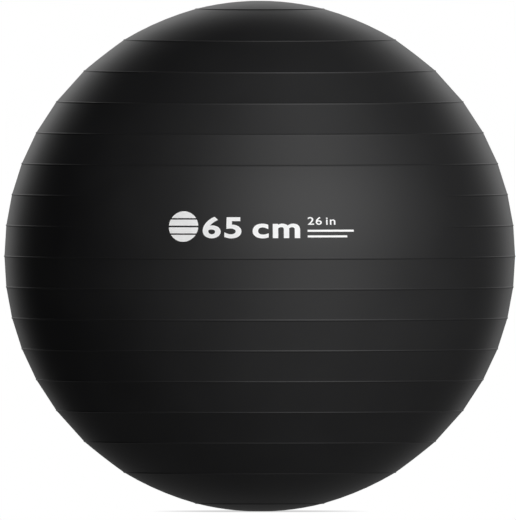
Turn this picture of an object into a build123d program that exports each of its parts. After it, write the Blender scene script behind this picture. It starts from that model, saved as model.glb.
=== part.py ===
# Exercise ball, 65 cm: a one-piece vinyl skin with raised grip rings, the valve moulded into it, and its stopper.
# Millimetres. +Z runs up through both poles, and the origin is the middle of the flat patch that the ball rests on.
import os
from math import sqrt

from build123d import *

# Ball, inflated to its marked size
ball_radius = 325.0  # over the crests of the rings
rest_patch_radius = 16.0  # the flat that the ball's own weight presses into its foot
wall = 0.8

# Grip rings: evenly spaced along the axis, one of them on the equator
rings_each_side = 8
ring_spacing = 39.25
ring_width = 2.8
ring_height = 0.6
# How far each band between two rings swells from a straight cone (0) to the full sphere (1), from the equator out
band_swell = [0, 0, 0, 0, 0, 0, 0.4, 0.9]
# The printed panel on the front (-Y) is left smooth: these rings, counted up from the equator, stop short of it
panel_rings = [1, 2]
panel_half_angle = 42.0

# Valve, moulded in soft vinyl and welded into a hole at the top pole
collar_radius = 13.0  # the part that fills the hole in the skin
flange_radius = 25.0  # welded against the inside of the skin
flange_thickness = 1.4
recess_radius = 9.4  # takes the stopper's head
recess_depth = 2.4
recess_lead = 0.4  # chamfer at the recess's mouth
bore_radius = 4.75
boss_radius = 12.0
boss_depth = 5.2  # below the collar's face
sleeve_radius = 7.8
sleeve_tip_radius = 7.0
sleeve_length = 23.0  # below the recess's floor

# Stopper
head_radius = 9.0
head_thickness = 2.1
head_rim = 1.5  # height of the head's upright edge, below its domed top
seat_gap = 0.05  # between the head and the recess's floor
stem_radius = 4.35
stem_tip_radius = 3.9
stem_length = 21.0
stem_nose = 1.6  # length of the rounded nose
seal_rings = 3
seal_radius = 4.70
seal_width = 1.8
seal_pitch = 5.0
first_seal = 4.2  # below the head

skin_radius = ball_radius - ring_height
inner_radius = skin_radius - wall
centre_height = sqrt(skin_radius**2 - rest_patch_radius**2)


def at(radius, height):
    return Vector(radius, 0, height)


def sphere_height(sphere_radius, radius):
    return sqrt(sphere_radius**2 - radius**2)


collar_top = sphere_height(skin_radius, collar_radius)
recess_floor = collar_top - recess_depth


# A point of the turned outline where two bands meet, on a sphere of the given radius
def ring_corner(index, sphere_radius):
    height = index * ring_spacing * sphere_radius / skin_radius
    return at(sphere_height(sphere_radius, height), height)


# One stretch of outline between two points of a sphere, swollen by a share of the sphere's own rise above it
def swollen_stretch(start, end, sphere_radius, swell):
    if swell == 0:
        return Line(start, end)
    middle = (start + end) * 0.5
    rise = swell * (sphere_radius - middle.length)
    return ThreePointArc(start, middle + middle.normalized() * rise, end)


# The skin's outline from the edge of the rest patch up to the valve hole, without its rings
def skin_outline(sphere_radius):
    indices = range(-rings_each_side, rings_each_side + 1)
    corners = [ring_corner(index, sphere_radius) for index in indices]
    swells = band_swell[::-1] + band_swell
    size = sphere_radius / skin_radius
    foot = at(rest_patch_radius * size, -centre_height * size)
    mouth = at(collar_radius, sphere_height(sphere_radius, collar_radius))
    stops = [foot, *corners, mouth]
    return [
        swollen_stretch(start, end, sphere_radius, swell)
        for start, end, swell in zip(stops, stops[1:], [1, *swells, 1])
    ]


# The rounded back of a ring, from the stretch below its corner to the one above
def ring_back(below, above):
    foot = below.position_at(below.length - ring_width / 2, PositionMode.LENGTH)
    head = above.position_at(ring_width / 2, PositionMode.LENGTH)
    return ThreePointArc(foot, (above @ 0).normalized() * ball_radius, head)


# The outline with a full ring at every corner but those of the panel's rings
def raise_rings(stretches):
    outline = [stretches[0]]
    for index, stretch in zip(range(-rings_each_side, rings_each_side + 1), stretches[1:]):
        if index in panel_rings:
            outline.append(stretch)
            continue
        back = ring_back(outline[-1], stretch)
        outline[-1:] = [outline[-1].trim(0, back @ 0), back, stretch.trim(back @ 1, 1)]
    return outline


def turned(edges, arc=360):
    return Pos(0, 0, centre_height) * revolve(Face(Wire(edges)), Axis.Z, revolution_arc=arc)


# A ring that stops either side of the panel, rooted in the middle of the wall
def panel_ring(index):
    below, above = skin_outline(skin_radius)[index + rings_each_side :][:2]
    back = ring_back(below, above)
    root = (above @ 0).normalized() * (skin_radius - wall / 2)
    section = [back, Line(back @ 1, root), Line(root, back @ 0)]
    arc = 360 - 2 * panel_half_angle
    return Rot(0, 0, panel_half_angle - 90) * turned(section, arc)


def ball_skin():
    outside = raise_rings(skin_outline(skin_radius))
    inside = skin_outline(inner_radius)
    foot, inner_foot = outside[0] @ 0, inside[0] @ 0
    pole, inner_pole = at(0, foot.Z), at(0, inner_foot.Z)
    hole_edge = Line(outside[-1] @ 1, inside[-1] @ 1)
    under = [Line(inner_foot, inner_pole), Line(inner_pole, pole), Line(pole, foot)]
    shell = turned([*outside, hole_edge, *inside, *under])
    return shell + [panel_ring(index) for index in panel_rings]


def valve_body():
    weld_top = at(collar_radius, sphere_height(inner_radius, collar_radius))
    weld_rim = at(flange_radius, sphere_height(inner_radius, flange_radius))
    flange_rim = weld_rim - weld_rim.normalized() * flange_thickness
    boss_side = at(boss_radius, sphere_height(inner_radius - flange_thickness, boss_radius))
    boss_foot = collar_top - boss_depth
    sleeve_end = recess_floor - sleeve_length
    return turned(
        [
            swollen_stretch(weld_top, weld_rim, inner_radius, 1),
            Line(weld_rim, flange_rim),
            swollen_stretch(flange_rim, boss_side, inner_radius - flange_thickness, 1),
            *Polyline(
                boss_side,
                at(boss_radius, boss_foot),
                at(sleeve_radius, boss_foot),
                at(sleeve_tip_radius, sleeve_end),
                at(bore_radius, sleeve_end),
                at(bore_radius, recess_floor),
                at(recess_radius, recess_floor),
                at(recess_radius, collar_top - recess_lead),
                at(recess_radius + recess_lead, collar_top),
                at(collar_radius, collar_top),
                weld_top,
            ).edges(),
        ]
    )


# An arc from a rim to the axis, level where it gets there: half the section of a dome or of a rounded nose
def domed(rim, pole):
    rise = pole.Z - rim.Z
    dome_radius = (rim.X**2 + rise**2) / (2 * rise)
    dome_centre = at(0, pole.Z - dome_radius)
    outward = ((rim + pole) * 0.5 - dome_centre).normalized()
    return ThreePointArc(rim, dome_centre + outward * abs(dome_radius), pole)


# One side of the stem from the head down to the nose, with the seal rings bulging from it
def stem_side(root, tip):
    edges, top = [], root
    slope = (tip - root) / (root.Z - tip.Z)
    for ring in range(seal_rings):
        ring_top = root + slope * (first_seal + ring * seal_pitch)
        ring_foot = ring_top + slope * seal_width
        crest = at(seal_radius, (ring_top.Z + ring_foot.Z) / 2)
        edges += [Line(top, ring_top), ThreePointArc(ring_top, crest, ring_foot)]
        top = ring_foot
    return [*edges, Line(top, tip)]


def valve_plug():
    head_foot = recess_floor + seat_gap
    head_top = at(0, head_foot + head_thickness)
    rim_top = at(head_radius, head_foot + head_rim)
    rim_foot = at(head_radius, head_foot)
    stem_root = at(stem_radius, head_foot)
    stem_shoulder = at(stem_tip_radius, head_foot - stem_length + stem_nose)
    stem_end = at(0, head_foot - stem_length)
    return turned(
        [
            domed(rim_top, head_top),
            Line(rim_top, rim_foot),
            Line(rim_foot, stem_root),
            *stem_side(stem_root, stem_shoulder),
            domed(stem_shoulder, stem_end),
            Line(stem_end, head_top),
        ]
    )


os.makedirs("parts", exist_ok=True)
for piece in (ball_skin, valve_body, valve_plug):
    export_step(piece(), f"parts/{piece.__name__}.step")
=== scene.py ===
import math

import bmesh
import bpy
from mathutils import Matrix, Vector


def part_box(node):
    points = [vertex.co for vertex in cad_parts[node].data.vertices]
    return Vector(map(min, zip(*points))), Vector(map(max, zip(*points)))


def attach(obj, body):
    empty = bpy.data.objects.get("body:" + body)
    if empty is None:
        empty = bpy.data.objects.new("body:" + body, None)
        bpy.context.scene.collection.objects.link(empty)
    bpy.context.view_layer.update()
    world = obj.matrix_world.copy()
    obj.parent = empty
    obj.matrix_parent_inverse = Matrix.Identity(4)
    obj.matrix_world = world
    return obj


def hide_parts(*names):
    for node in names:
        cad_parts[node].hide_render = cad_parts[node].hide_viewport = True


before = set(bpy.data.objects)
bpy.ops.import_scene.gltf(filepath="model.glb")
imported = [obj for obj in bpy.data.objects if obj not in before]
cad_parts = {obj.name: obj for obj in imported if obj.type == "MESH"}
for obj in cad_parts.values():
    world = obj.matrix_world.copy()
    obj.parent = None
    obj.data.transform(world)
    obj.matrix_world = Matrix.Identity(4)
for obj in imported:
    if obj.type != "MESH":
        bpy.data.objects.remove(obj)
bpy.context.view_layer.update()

mm = 0.001
sharpAngle = math.radians(35)
onAxis = 1e-7
ballLow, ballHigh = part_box("ball_skin")
ballRadius = (ballHigh.x - ballLow.x) / 2


def linkObject(name, data):
    piece = bpy.data.objects.new(name, data)
    bpy.context.scene.collection.objects.link(piece)
    return piece


# An outline's corners made round: each (radius, height, fillet) becomes an arc of a few steps
def roundedOutline(corners, steps=5):
    outline = []
    for place, (radius, height, fillet) in enumerate(corners):
        here = Vector((radius, height))
        if fillet == 0:
            outline.append(here)
            continue
        before = (Vector(corners[place - 1][:2]) - here).normalized()
        after = (Vector(corners[(place + 1) % len(corners)][:2]) - here).normalized()
        half = before.angle(after) / 2
        centre = here + (before + after).normalized() * fillet / math.sin(half)
        start = here + before * fillet / math.tan(half) - centre
        end = here + after * fillet / math.tan(half) - centre
        turn = start.angle_signed(end)
        for step in range(steps + 1):
            outline.append(centre + Matrix.Rotation(-turn * step / steps, 2) @ start)
    return outline


# Turns an outline about the vertical axis; its points on the axis become single poles
def turnedMesh(name, outline, segments, closed):
    mesh = bpy.data.meshes.new(name)
    shape = bmesh.new()
    angles = [2 * math.pi * step / segments for step in range(segments)]
    rows = []
    for radius, height in outline:
        if radius < onAxis:
            rows.append([shape.verts.new((0, 0, height))] * segments)
            continue
        points = [(radius * math.cos(angle), radius * math.sin(angle), height) for angle in angles]
        rows.append([shape.verts.new(point) for point in points])
    pairs = list(zip(rows, rows[1:])) + ([(rows[-1], rows[0])] if closed else [])
    for low, high in pairs:
        for here in range(segments):
            there = (here + 1) % segments
            corners = dict.fromkeys((low[here], low[there], high[there], high[here]))
            if len(corners) > 2:
                shape.faces.new(list(corners))
    bmesh.ops.recalc_face_normals(shape, faces=shape.faces)
    shape.to_mesh(mesh)
    shape.free()
    mesh.shade_smooth()
    mesh.set_sharp_from_angle(angle=sharpAngle)
    return mesh


def addNode(tree, kind, inputs=(), **settings):
    node = tree.nodes.new(kind)
    for name, value in settings.items():
        setattr(node, name, value)
    for socket, value in inputs.items() if isinstance(inputs, dict) else enumerate(inputs):
        value = value.socket if isinstance(value, Field) else value
        if isinstance(value, bpy.types.NodeSocket):
            tree.links.new(value, node.inputs[socket])
        elif value is not None:
            node.inputs[socket].default_value = value
    return node


# A number in a node tree that can be added, multiplied and so on like any other
class Field:
    def __init__(self, tree, socket):
        self.tree, self.socket = tree, socket

    def calc(self, operation, *values):
        node = addNode(self.tree, "ShaderNodeMath", values, operation=operation)
        return Field(self.tree, node.outputs[0])

    def __add__(self, other):
        return self.calc("ADD", self, other)

    def __sub__(self, other):
        return self.calc("SUBTRACT", self, other)

    def __rsub__(self, other):
        return self.calc("SUBTRACT", other, self)

    def __mul__(self, other):
        return self.calc("MULTIPLY", self, other)

    def __truediv__(self, other):
        return self.calc("DIVIDE", self, other)

    def __rtruediv__(self, other):
        return self.calc("DIVIDE", other, self)

    def apply(self, operation, *others):
        return self.calc(operation, self, *others)

    def clamp(self, low=0.0, high=1.0):
        return self.apply("MAXIMUM", low).apply("MINIMUM", high)

    def smooth(self):
        flat = self.clamp()
        return flat * flat * (3 - flat * 2)


def newTree(name, kind, sockets):
    tree = bpy.data.node_groups.new(name, kind)
    for inOut, socketName, socketType in sockets:
        tree.interface.new_socket(socketName, in_out=inOut, socket_type="NodeSocket" + socketType)
    tree.nodes.new("NodeGroupInput")
    tree.nodes.new("NodeGroupOutput")
    return tree


def treeInputs(tree):
    node = tree.nodes["Group Input"]
    return {socket.name: Field(tree, socket) for socket in node.outputs if socket.name}


# Runs a geometry tree once and keeps its result as a plain mesh
def bakeTree(name, tree, values):
    holder = linkObject(name, bpy.data.meshes.new(name + "Start"))
    modifier = holder.modifiers.new("shape", "NODES")
    modifier.node_group = tree
    for item in tree.interface.items_tree:
        if item.item_type == "SOCKET" and item.in_out == "INPUT" and item.name in values:
            modifier[item.identifier] = values[item.name]
    evaluated = holder.evaluated_get(bpy.context.evaluated_depsgraph_get())
    mesh = bpy.data.meshes.new_from_object(evaluated)
    holder.modifiers.clear()
    holder.data = mesh
    mesh.name = name
    return holder


print("materials")
grain = dict(
    fine=0.6,
    fineDetail=3.0,
    pebbles=0.4,
    pebbleScale=0.6,
    patchLow=0.35,
    patchRange=0.3,
    patchDetail=5.0,
)


# Fine moulded grain, and wide soft patches such as handling leaves
def mouldedGrainGroup():
    tree = newTree(
        "mouldedGrain",
        "ShaderNodeTree",
        [
            ("INPUT", "Grain Size", "Float"),
            ("INPUT", "Patch Size", "Float"),
            ("OUTPUT", "Height", "Float"),
            ("OUTPUT", "Patches", "Float"),
        ],
    )
    given = treeInputs(tree)
    place = addNode(tree, "ShaderNodeTexCoord").outputs["Object"]
    grainScale = 1 / given["Grain Size"]
    patchScale = 1 / given["Patch Size"]
    fine = addNode(
        tree, "ShaderNodeTexNoise", {"Vector": place, "Scale": grainScale, "Detail": grain["fineDetail"]}
    )
    pebbles = addNode(
        tree, "ShaderNodeTexVoronoi", {"Vector": place, "Scale": grainScale * grain["pebbleScale"]}
    )
    wide = addNode(
        tree, "ShaderNodeTexNoise", {"Vector": place, "Scale": patchScale, "Detail": grain["patchDetail"]}
    )
    fineHeight = Field(tree, fine.outputs["Fac"]) * grain["fine"]
    height = fineHeight + Field(tree, pebbles.outputs["Distance"]) * grain["pebbles"]
    patches = ((Field(tree, wide.outputs["Fac"]) - grain["patchLow"]) / grain["patchRange"]).smooth()
    out = tree.nodes["Group Output"]
    tree.links.new(height.socket, out.inputs["Height"])
    tree.links.new(patches.socket, out.inputs["Patches"])
    return tree


mouldedGrain = mouldedGrainGroup()


# A moulded plastic: two shades and two gloss levels that follow the patches, with the grain as its bump
def plasticMaterial(name, look):
    material = bpy.data.materials.new(name)
    material.use_nodes = True
    tree = material.node_tree
    shader = tree.nodes["Principled BSDF"]
    surface = addNode(tree, "ShaderNodeGroup", node_tree=mouldedGrain)
    surface.inputs["Grain Size"].default_value = look["grainSize"]
    surface.inputs["Patch Size"].default_value = look["patchSize"]
    colour = addNode(tree, "ShaderNodeMix", data_type="RGBA")
    colour.inputs["A"].default_value = (*look["shade"], 1)
    colour.inputs["B"].default_value = (*look["wornShade"], 1)
    patches = Field(tree, surface.outputs["Patches"])
    gloss = patches * (look["wornRoughness"] - look["roughness"]) + look["roughness"]
    tree.links.new(patches.socket, colour.inputs["Factor"])
    tree.links.new(colour.outputs["Result"], shader.inputs["Base Color"])
    if "crestRoughness" in look:
        crest = addNode(tree, "ShaderNodeAttribute", attribute_name="ringCrest").outputs["Fac"]
        gloss = gloss + Field(tree, crest) * look["crestRoughness"]
    tree.links.new(gloss.socket, shader.inputs["Roughness"])
    bump = addNode(tree, "ShaderNodeBump", {"Height": surface.outputs["Height"]})
    bump.inputs["Strength"].default_value = look["bumpStrength"]
    bump.inputs["Distance"].default_value = look["bumpDepth"]
    tree.links.new(bump.outputs["Normal"], shader.inputs["Normal"])
    shader.inputs["IOR"].default_value = look["ior"]
    return material


skinLook = dict(
    shade=(0.0075, 0.0075, 0.008),
    wornShade=(0.009, 0.009, 0.0095),
    roughness=0.355,
    wornRoughness=0.375,
    crestRoughness=0.03,
    grainSize=0.7 * mm,
    patchSize=90 * mm,
    bumpStrength=0.12,
    bumpDepth=0.05 * mm,
    ior=1.42,
)
valveLook = dict(skinLook, roughness=0.5, wornRoughness=0.55, patchSize=9 * mm, grainSize=0.5 * mm)
valveLook.pop("crestRoughness")
plugLook = dict(
    shade=(0.80, 0.80, 0.78),
    wornShade=(0.74, 0.735, 0.71),
    roughness=0.38,
    wornRoughness=0.46,
    grainSize=0.4 * mm,
    patchSize=6 * mm,
    bumpStrength=0.1,
    bumpDepth=0.04 * mm,
    ior=1.5,
)
inkLook = dict(
    shade=(0.95, 0.95, 0.95),
    wornShade=(0.9, 0.9, 0.9),
    roughness=0.5,
    wornRoughness=0.58,
    grainSize=0.8 * mm,
    patchSize=14 * mm,
    bumpStrength=0.1,
    bumpDepth=0.03 * mm,
    ior=1.48,
)
skinVinyl = plasticMaterial("skinVinyl", skinLook)
valveVinyl = plasticMaterial("valveVinyl", valveLook)
plugPlastic = plasticMaterial("plugPlastic", plugLook)
printInk = plasticMaterial("printInk", inkLook)

print("ball skin")
skin = {
    "Ring Height": 0.6 * mm,
    "Ring Width": 2.8 * mm,
    "Ring Spacing": 39.25 * mm,
    "Rings Each Side": 8,
    "Wall": 0.8 * mm,
    "Patch Radius": 16 * mm,
    "Hole Radius": 13 * mm,
    "Hole Chamfer": 0.25 * mm,
    "Panel Half Angle": math.radians(42),
    "Panel Fade": math.radians(14),
    "Swell Start": 5.0,
    "Swell Span": 2.3,
    "Dense Reach": 1.3,
    "Merge Distance": 0.01 * mm,
    "Panel Bands": 3,
    "Segments": 264,
    "Rows On Ring": 6,
    "Rows Between": 5,
    "Inner Rows": 2,
    "Vinyl": skinVinyl,
}
skin["Skin Radius"] = ballRadius - skin["Ring Height"]
centreHeight = math.sqrt(skin["Skin Radius"] ** 2 - skin["Patch Radius"] ** 2)


# The ringed skin as a rule: stretches of outline between corners on a sphere, turned about the axis
def ringedSkinTree():
    sizes = ["Skin Radius", "Ring Height", "Ring Width", "Ring Spacing", "Wall", "Patch Radius"]
    sizes += ["Hole Radius", "Hole Chamfer", "Panel Half Angle", "Panel Fade"]
    sizes += ["Swell Start", "Swell Span", "Dense Reach", "Merge Distance"]
    counts = ["Rings Each Side", "Panel Bands", "Segments", "Rows On Ring", "Rows Between", "Inner Rows"]
    sockets = [("INPUT", name, "Float") for name in sizes] + [("INPUT", name, "Int") for name in counts]
    sockets += [("INPUT", "Vinyl", "Material"), ("OUTPUT", "Geometry", "Geometry")]
    tree = newTree("ringedSkin", "GeometryNodeTree", sockets)
    given = treeInputs(tree)
    sphere, rings = given["Skin Radius"], given["Rings Each Side"]
    stretches = rings * 2 + 2
    columns = given["Segments"] + 1

    def onSphere(across):
        return (sphere * sphere - across * across).apply("SQRT")

    # 1 where a number lies between two others, and 0 elsewhere
    def between(number, low, high):
        return number.apply("GREATER_THAN", low) * number.apply("LESS_THAN", high)

    footHeight = onSphere(given["Patch Radius"])
    lipHeight = onSphere(given["Hole Radius"] + given["Hole Chamfer"])

    # where two stretches meet, counted from the equator: the ends are the resting patch and the valve hole
    def corner(number):
        height = (number * given["Ring Spacing"]).clamp(footHeight * -1, lipHeight)
        return onSphere(height), height

    index = Field(tree, addNode(tree, "GeometryNodeInputIndex").outputs[0])
    row = ((index + 0.5) / columns).apply("FLOOR")
    azimuth = ((index - row * columns) / given["Segments"] - 0.5) * (2 * math.pi)
    panel = 1 - ((azimuth.apply("ABSOLUTE") - given["Panel Half Angle"]) / given["Panel Fade"]).smooth()

    def place(radius, height):
        x = radius * azimuth.apply("SINE")
        y = radius * azimuth.apply("COSINE") * -1
        return addNode(tree, "ShaderNodeCombineXYZ", [x, y, height + footHeight]).outputs[0]

    def sheet(rows, position):
        grid = addNode(tree, "GeometryNodeMeshGrid", {"Vertices X": rows, "Vertices Y": columns})
        moved = {"Geometry": grid.outputs["Mesh"], "Position": position}
        return addNode(tree, "GeometryNodeSetPosition", moved).outputs[0]

    # the straight line between the two corners of a stretch, stretches being counted from the foot
    def chord(stretch):
        below = stretch - rings - 1
        startRadius, startHeight = corner(below)
        endRadius, endHeight = corner(below + 1)
        outward, upward = endRadius - startRadius, endHeight - startHeight
        length = (outward * outward + upward * upward).apply("SQRT")
        return below, startRadius, startHeight, outward, upward, length

    # a place on a stretch, which swells to the full sphere near the poles and on the panel
    def onStretch(stretch, share):
        below, startRadius, startHeight, outward, upward, length = chord(stretch)
        band = (below + 0.5).apply("ABSOLUTE") - 0.5
        swell = ((band - given["Swell Start"]) / given["Swell Span"]).clamp()
        swell = swell.apply("MAXIMUM", between(below + 0.5, 0, given["Panel Bands"]) * panel)
        bulge = (onSphere(length * (share - 0.5)) - onSphere(length / 2)) * swell
        radius = startRadius + outward * share + bulge * upward / length
        return radius, startHeight + upward * share - bulge * outward / length

    # the outer sheet climbs from the middle of the foot to the hole, with dense rows beside each corner
    ringRows, betweenRows = given["Rows On Ring"], given["Rows Between"]
    stretchRows = ringRows * 2 + betweenRows
    count = (row - 1).apply("MAXIMUM", 0)
    stretch = ((count + 0.5) / stretchRows).apply("FLOOR")
    step = count - stretch * stretchRows
    below, *_, length = chord(stretch)
    halfRing = given["Ring Width"] / 2
    # the dense rows run a little past the ring's foot, so that the band's shading starts flat
    reach = halfRing * given["Dense Reach"]
    along = reach * (step / ringRows).clamp()
    along = along + (length - reach * 2) * ((step - ringRows) / betweenRows).clamp()
    along = along + reach * ((step - ringRows - betweenRows) / ringRows).clamp()
    bandRadius, bandHeight = onStretch(stretch, along / length)

    def ringRise(distance, number):
        exists = (number.apply("ABSOLUTE") - 0.5).apply("LESS_THAN", rings)
        onPanel = between(number, 0.5, given["Panel Bands"] - 0.5)
        return (1 - (distance / halfRing).smooth()) * exists * (1 - onPanel * panel)

    crest = ringRise(along, below) + ringRise(length - along, below + 1)
    lift = crest * given["Ring Height"] / sphere + 1
    notPole = row.apply("GREATER_THAN", 0.5)
    outer = sheet(stretches * stretchRows + 2, place(bandRadius * lift * notPole, bandHeight * lift))
    stored = {"Geometry": outer, "Name": "ringCrest", "Value": crest}
    outer = addNode(tree, "GeometryNodeStoreNamedAttribute", stored)

    # rows 0 and 1 of the inner sheet are the valve hole's lip, the next ones run down the inner face to the
    # foot, and the last one closes the foot on the axis
    innerRows = stretches * given["Inner Rows"]
    stretch = stretches - (row - 2).clamp(0.0, innerRows) / given["Inner Rows"]
    whole = (stretch + 0.01).apply("FLOOR").apply("MINIMUM", stretches - 1)  # a hair more, against rounding
    radius, height = onStretch(whole, stretch - whole)
    size = 1 - row.apply("GREATER_THAN", 1.5) * given["Wall"] / sphere
    isLip = row.apply("COMPARE", 1, 0.1)
    isOpen = row.apply("LESS_THAN", innerRows + 2.5)
    radius = (radius * size - isLip * given["Hole Chamfer"]) * isOpen
    height = height * size - isLip * given["Hole Chamfer"]
    inner = sheet(innerRows + 4, place(radius, height))

    joined = addNode(tree, "GeometryNodeJoinGeometry")
    tree.links.new(outer.outputs[0], joined.inputs[0])
    tree.links.new(inner, joined.inputs[0])
    close = {"Geometry": joined.outputs[0], "Distance": given["Merge Distance"]}
    merged = addNode(tree, "GeometryNodeMergeByDistance", close)
    outward = addNode(tree, "GeometryNodeFlipFaces", {"Mesh": merged.outputs[0]})
    smooth = addNode(tree, "GeometryNodeSetShadeSmooth", {"Geometry": outward.outputs[0]})
    real = addNode(tree, "GeometryNodeRealizeInstances", {"Geometry": smooth.outputs[0]})
    dressed = {"Geometry": real.outputs[0], "Material": given["Vinyl"]}
    done = addNode(tree, "GeometryNodeSetMaterial", dressed)
    tree.links.new(done.outputs[0], tree.nodes["Group Output"].inputs[0])
    return tree


ballSkin = bakeTree("ballSkin", ringedSkinTree(), skin)
ballSkin.data.set_sharp_from_angle(angle=sharpAngle)
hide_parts("ball_skin")
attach(ballSkin, "ball")

print("valve")
valveLow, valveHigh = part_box("valve_body")
valve = dict(
    collarRadius=13 * mm,
    recessRadius=9.4 * mm,
    recessDepth=2.4 * mm,
    boreRadius=4.75 * mm,
    boss=(12 * mm, 5.2 * mm),
    sleeveRadius=7.8 * mm,
    sleeveTipRadius=7 * mm,
    flangeThickness=1.4 * mm,
    flangeStep=0.8,
    softEdge=0.5 * mm,
    edge=0.4 * mm,
    fineEdge=0.25 * mm,
    boreEdge=0.3 * mm,
    recessEdge=0.45 * mm,
    segments=96,
)


def valveOutline():
    top, end = valveHigh.z, valveLow.z
    floor = top - valve["recessDepth"]
    boss, bossFoot = valve["boss"][0], top - valve["boss"][1]
    flange = (valveHigh.x - valveLow.x) / 2
    inner = skin["Skin Radius"] - skin["Wall"]

    def underSkin(radius, deeper=0.0):
        return centreHeight + math.sqrt((inner - deeper) ** 2 - radius**2)

    thick = valve["flangeThickness"]
    step = flange * valve["flangeStep"]
    return [
        (valve["collarRadius"], underSkin(valve["collarRadius"]), 0),
        (step, underSkin(step), 0),
        (flange, underSkin(flange), 0),
        (flange, underSkin(flange, thick), valve["edge"]),
        (step, underSkin(step, thick), 0),
        (boss, underSkin(boss, thick), 0),
        (boss, bossFoot, valve["softEdge"]),
        (valve["sleeveRadius"], bossFoot, valve["softEdge"]),
        (valve["sleeveTipRadius"], end, valve["edge"]),
        (valve["boreRadius"], end, valve["boreEdge"]),
        (valve["boreRadius"], floor, valve["fineEdge"]),
        (valve["recessRadius"], floor, valve["fineEdge"]),
        (valve["recessRadius"], top, valve["recessEdge"]),
        (valve["collarRadius"], top, valve["fineEdge"]),
    ]


valveBody = linkObject(
    "valveBody", turnedMesh("valveBody", roundedOutline(valveOutline()), valve["segments"], True)
)
valveBody.data.materials.append(valveVinyl)
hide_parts("valve_body")
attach(valveBody, "ball")

print("stopper")
plugLow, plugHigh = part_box("valve_plug")
plug = dict(
    headThickness=2.1 * mm,
    headRim=1.5 * mm,
    dimple=(2.2 * mm, 0.35 * mm),
    dimpleFloor=0.55,  # share of the dimple's radius
    domeSteps=(0.45, 0.65, 0.85),  # shares of the head's radius
    edge=0.3 * mm,
    rimEdge=0.5 * mm,
    rootEdge=0.35 * mm,
    stemRadius=4.35 * mm,
    stemTipRadius=3.9 * mm,
    noseLength=1.6 * mm,
    sealRadius=4.70 * mm,
    sealWidth=1.8 * mm,
    sealPitch=5 * mm,
    firstSeal=4.2 * mm,
    sealSteps=(0, 0.25, 0.5, 0.75, 1),
    sealFullness=0.8,
    noseAngles=(0, 22.5, 45, 67.5),
    seals=3,
    segments=96,
)


def plugOutline():
    top, end = plugHigh.z, plugLow.z
    headFoot = top - plug["headThickness"]
    headRadius = (plugHigh.x - plugLow.x) / 2
    rimTop = headFoot + plug["headRim"]
    dimpleRadius, dimpleDepth = plug["dimple"]
    domeRadius = (headRadius**2 + (top - rimTop) ** 2) / (2 * (top - rimTop))

    def dome(radius):
        return top - domeRadius + math.sqrt(domeRadius**2 - radius**2)

    floorRadius = dimpleRadius * plug["dimpleFloor"]
    corners = [(0, top - dimpleDepth, 0), (floorRadius, top - dimpleDepth, plug["edge"])]
    corners += [(dimpleRadius, dome(dimpleRadius), plug["edge"])]
    corners += [(headRadius * part, dome(headRadius * part), 0) for part in plug["domeSteps"]]
    corners += [(headRadius, rimTop, plug["rimEdge"]), (headRadius, headFoot, plug["edge"])]
    corners += [(plug["stemRadius"], headFoot, plug["rootEdge"])]
    shoulder = end + plug["noseLength"]
    for seal in range(plug["seals"]):
        sealTop = headFoot - plug["firstSeal"] - seal * plug["sealPitch"]
        for part in plug["sealSteps"]:
            height = sealTop - plug["sealWidth"] * part
            taper = (headFoot - height) / (headFoot - shoulder)
            stem = plug["stemRadius"] + (plug["stemTipRadius"] - plug["stemRadius"]) * taper
            rise = math.sin(math.pi * part) ** plug["sealFullness"]
            corners.append((stem + (plug["sealRadius"] - stem) * rise, height, 0))
    for angle in plug["noseAngles"]:
        turn = math.radians(angle)
        height = shoulder - plug["noseLength"] * math.sin(turn)
        corners.append((plug["stemTipRadius"] * math.cos(turn), height, 0))
    return [*corners, (0, end, 0)]


valvePlug = linkObject(
    "valvePlug", turnedMesh("valvePlug", roundedOutline(plugOutline()), plug["segments"], False)
)
valvePlug.data.materials.append(plugPlastic)
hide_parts("valve_plug")
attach(valvePlug, "plug")

print("print")
mark = dict(
    emblemCentre=(-98.5 * mm, 41 * mm),
    emblemRadius=19.5 * mm,
    emblemGaps=(-30, 0, 30),  # degrees of latitude, as is the gap's half width
    emblemGap=3.2,
    emblemTop=86,
    emblemSteps=12,
    size=dict(
        words="65 cm",
        height=36.5 * mm,
        left=-74 * mm,
        base=27.2 * mm,
        weight=0.9 * mm,
        stretch=1.36,
    ),
    small=dict(
        words="26 in",
        height=14 * mm,
        left=61 * mm,
        base=43.4 * mm,
        weight=0.15 * mm,
        stretch=1.3,
    ),
    bars=((61 * mm, 35.6 * mm, 61 * mm), (61 * mm, 28.4 * mm, 52 * mm)),  # left end, middle height, length
    barHeight=2.6 * mm,
    letterSpacing=1.12,
    wordSpacing=0.4,
    curveSteps=6,
    mergeDistance=0.02 * mm,
    cut=4 * mm,
    film=0.1 * mm,
    proud=0.05 * mm,
)


# Flat text, its left end and base line in place and its strokes a little fattened
def textMesh(words, height, left, base, weight, stretch):
    curve = bpy.data.curves.new("markText", "FONT")
    curve.body = words
    curve.size = height
    curve.offset = weight
    curve.space_character = mark["letterSpacing"]
    curve.space_word = mark["wordSpacing"]
    curve.resolution_u = mark["curveSteps"]
    holder = linkObject("markText", curve)
    evaluated = holder.evaluated_get(bpy.context.evaluated_depsgraph_get())
    mesh = bpy.data.meshes.new_from_object(evaluated)
    mesh.transform(Matrix.Translation((left, base, 0)) @ Matrix.Diagonal((stretch, 1, 1, 1)))
    bpy.data.objects.remove(holder)
    return mesh


# A flat patch of quads from rows of points
def patch(shape, rows):
    made = [[shape.verts.new((x, y, 0)) for x, y in row] for row in rows]
    for low, high in zip(made, made[1:]):
        for corners in zip(low, low[1:], high[1:], high):
            shape.faces.new(corners)


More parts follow.
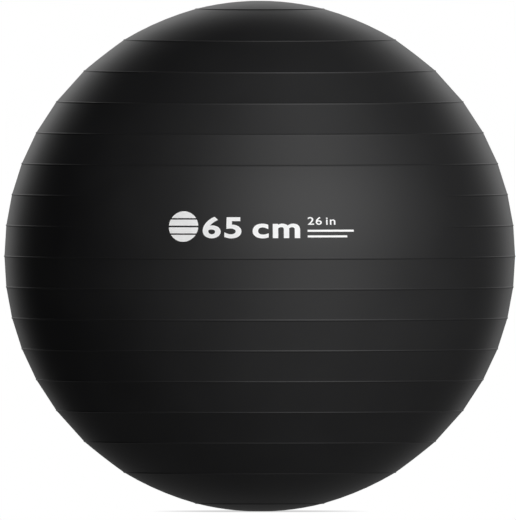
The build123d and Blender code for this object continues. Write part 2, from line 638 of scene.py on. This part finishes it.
# The emblem is a plain round ball cut into bands
def emblem(shape):
    x, y = mark["emblemCentre"]
    radius, steps = mark["emblemRadius"], mark["emblemSteps"]
    gaps = [latitude + side * mark["emblemGap"] for latitude in mark["emblemGaps"] for side in (-1, 1)]
    ends = [-mark["emblemTop"], *gaps, mark["emblemTop"]]
    for start, end in zip(ends[::2], ends[1::2]):
        rows = []
        for step in range(steps + 1):
            latitude = math.radians(start + (end - start) * step / steps)
            half = radius * math.cos(latitude)
            across = [half * (2 * part / steps - 1) for part in range(steps + 1)]
            rows.append([(x + a, y + radius * math.sin(latitude)) for a in across])
        patch(shape, rows)


# Cuts a flat shape small enough to follow the ball's curve
def cutSmall(shape, size):
    for axis, normal in ((0, Vector((1, 0, 0))), (1, Vector((0, 1, 0)))):
        low = min(vert.co[axis] for vert in shape.verts)
        high = max(vert.co[axis] for vert in shape.verts)
        for step in range(1, math.ceil((high - low) / size)):
            whole = [*shape.verts, *shape.edges, *shape.faces]
            place = normal * (low + step * size)
            bmesh.ops.bisect_plane(shape, geom=whole, plane_co=place, plane_no=normal)


# Lays a flat shape on the panel: x runs along the parallel at the mark's height, and y up the meridian
def layOnBall(shape, sphere):
    parallel = sphere * math.cos(mark["emblemCentre"][1] / sphere)
    for vert in shape.verts:
        rise, turn = vert.co.y / sphere, vert.co.x / parallel
        radius = sphere * math.cos(rise)
        height = centreHeight + sphere * math.sin(rise)
        vert.co = (radius * math.sin(turn), -radius * math.cos(turn), height)


def printMesh():
    shape = bmesh.new()
    for text in (mark["size"], mark["small"]):
        mesh = textMesh(**text)
        shape.from_mesh(mesh)
        bpy.data.meshes.remove(mesh)
    for left, middle, length in mark["bars"]:
        half = mark["barHeight"] / 2
        patch(shape, [[(left, middle + side), (left + length, middle + side)] for side in (-half, half)])
    emblem(shape)
    bmesh.ops.remove_doubles(shape, verts=shape.verts, dist=mark["mergeDistance"])
    cutSmall(shape, mark["cut"])
    bmesh.ops.reverse_faces(shape, faces=[face for face in shape.faces if face.normal.z < 0])
    layOnBall(shape, skin["Skin Radius"] + mark["proud"])
    mesh = bpy.data.meshes.new("printMark")
    shape.to_mesh(mesh)
    shape.free()
    return mesh


# The ink as a thin closed film, half sunk in the skin
def printedMark():
    piece = linkObject("printMark", printMesh())
    film = piece.modifiers.new("film", "SOLIDIFY")
    film.thickness = mark["film"]
    film.offset = -1
    evaluated = piece.evaluated_get(bpy.context.evaluated_depsgraph_get())
    mesh = bpy.data.meshes.new_from_object(evaluated)
    piece.modifiers.clear()
    piece.data = mesh
    mesh.shade_smooth()
    mesh.set_sharp_from_angle(angle=sharpAngle)
    mesh.materials.append(printInk)
    return piece


printMark = printedMark()
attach(printMark, "ball")

print("studio")
ballCentre = Vector((0, 0, centreHeight))


# Azimuth 0 is the front and grows to the right; both are in degrees
def direction(azimuth, elevation):
    a, e = math.radians(azimuth), math.radians(elevation)
    return Vector((math.sin(a) * math.cos(e), -math.cos(a) * math.cos(e), math.sin(e)))


# Light that falls off softly round one direction, as from a big round diffuser
def softGlowGroup():
    tree = newTree(
        "softGlow",
        "ShaderNodeTree",
        [
            ("INPUT", "Direction", "Vector"),
            ("INPUT", "Half Width", "Float"),
            ("INPUT", "Strength", "Float"),
            ("OUTPUT", "Light", "Float"),
        ],
    )
    given = treeInputs(tree)
    looking = addNode(tree, "ShaderNodeTexCoord").outputs["Generated"]
    facing = addNode(tree, "ShaderNodeVectorMath", [looking, given["Direction"]], operation="DOT_PRODUCT")
    angle = Field(tree, facing.outputs["Value"]).apply("ARCCOSINE")
    light = (1 - angle / given["Half Width"]).smooth() * given["Strength"]
    tree.links.new(light.socket, tree.nodes["Group Output"].inputs["Light"])
    return tree


# azimuth, elevation and half width in degrees, then strength
studioLights = {
    "key": (27, 24, 60, 2.05),
    "fill": (24, 13, 120, 0.70),
    "bounce": (79, -65, 123, 0.11),
    "rimRight": (162, 12, 41, 0.82),
    "rimLeft": (194, 12, 35, 0.93),
    "lowRight": (167, -26, 27, 0.062),
    "lowLeft": (193, -26, 27, 0.062),
}
darkFlag = (180, 0, 24, 0.9)  # stands right behind the ball and keeps its outline crisp


# White to the eye, and soft lights on the ball
def studioWorld():
    world = bpy.data.worlds.new("studio")
    world.use_nodes = True
    tree = world.node_tree
    softGlow = softGlowGroup()

    def glow(name, azimuth, elevation, halfWidth, strength):
        node = addNode(tree, "ShaderNodeGroup", node_tree=softGlow, label=name)
        node.inputs["Direction"].default_value = direction(azimuth, elevation)
        node.inputs["Half Width"].default_value = math.radians(halfWidth)
        node.inputs["Strength"].default_value = strength
        return Field(tree, node.outputs["Light"])

    lights = [glow(name, *settings) for name, settings in studioLights.items()]
    total = sum(lights[1:], lights[0]) * (1 - glow("darkFlag", *darkFlag))
    seen = Field(tree, addNode(tree, "ShaderNodeLightPath").outputs["Is Camera Ray"])
    shown = total * (1 - seen) + seen
    background = tree.nodes["Background"]
    background.inputs["Color"].default_value = (1, 1, 1, 1)
    tree.links.new(shown.socket, background.inputs["Strength"])
    return world


bpy.context.scene.world = studioWorld()
bpy.context.scene.view_settings.view_transform = "Standard"

floorLook = dict(reach=60.0, contactReach=0.03, contactShade=0.6)


# A white floor with a painted contact shadow: it darkens only where the ball nearly touches it
def floorWhite():
    material = bpy.data.materials.new("floorWhite")
    material.use_nodes = True
    tree = material.node_tree
    shader = tree.nodes["Principled BSDF"]
    shader.inputs["Base Color"].default_value = (0, 0, 0, 1)
    shader.inputs["Specular IOR Level"].default_value = 0
    shader.inputs["Emission Color"].default_value = (1, 1, 1, 1)
    # painted contact shadow: the floor's glow is dimmed where ambient occlusion finds the ball close
    gap = addNode(tree, "ShaderNodeAmbientOcclusion", {"Distance": floorLook["contactReach"]})
    openness = Field(tree, gap.outputs["AO"])
    glow = openness * (1 - floorLook["contactShade"]) + floorLook["contactShade"]
    tree.links.new(glow.socket, shader.inputs["Emission Strength"])
    return material


def studioFloor():
    reach = floorLook["reach"]
    mesh = bpy.data.meshes.new("floor")
    corners = [(-reach, -reach, 0), (reach, -reach, 0), (reach, reach, 0), (-reach, reach, 0)]
    mesh.from_pydata(corners, [], [(0, 1, 2, 3)])
    mesh.materials.append(floorWhite())
    floor = linkObject("floor", mesh)
    floor.visible_diffuse = False
    floor.visible_glossy = False
    floor.visible_shadow = False


studioFloor()

print("camera")
cameraSettings = dict(
    elevation=0.6,
    distance=3.0,
    frameHeight=0.6605,
    ballRight=2.24 * mm,
    ballUp=4.9 * mm,
    clip=(0.05, 200),
)
lens = bpy.data.cameras.new("camera")
lens.type = "ORTHO"
lens.ortho_scale = cameraSettings["frameHeight"]
lens.clip_start, lens.clip_end = cameraSettings["clip"]
camera = linkObject("camera", lens)
away = direction(0, cameraSettings["elevation"])
camera.rotation_euler = away.to_track_quat("Z", "Y").to_euler()
turn = camera.rotation_euler.to_matrix()
camera.location = (
    ballCentre
    + away * cameraSettings["distance"]
    - turn @ Vector((cameraSettings["ballRight"], cameraSettings["ballUp"], 0))
)
bpy.context.scene.camera = camera
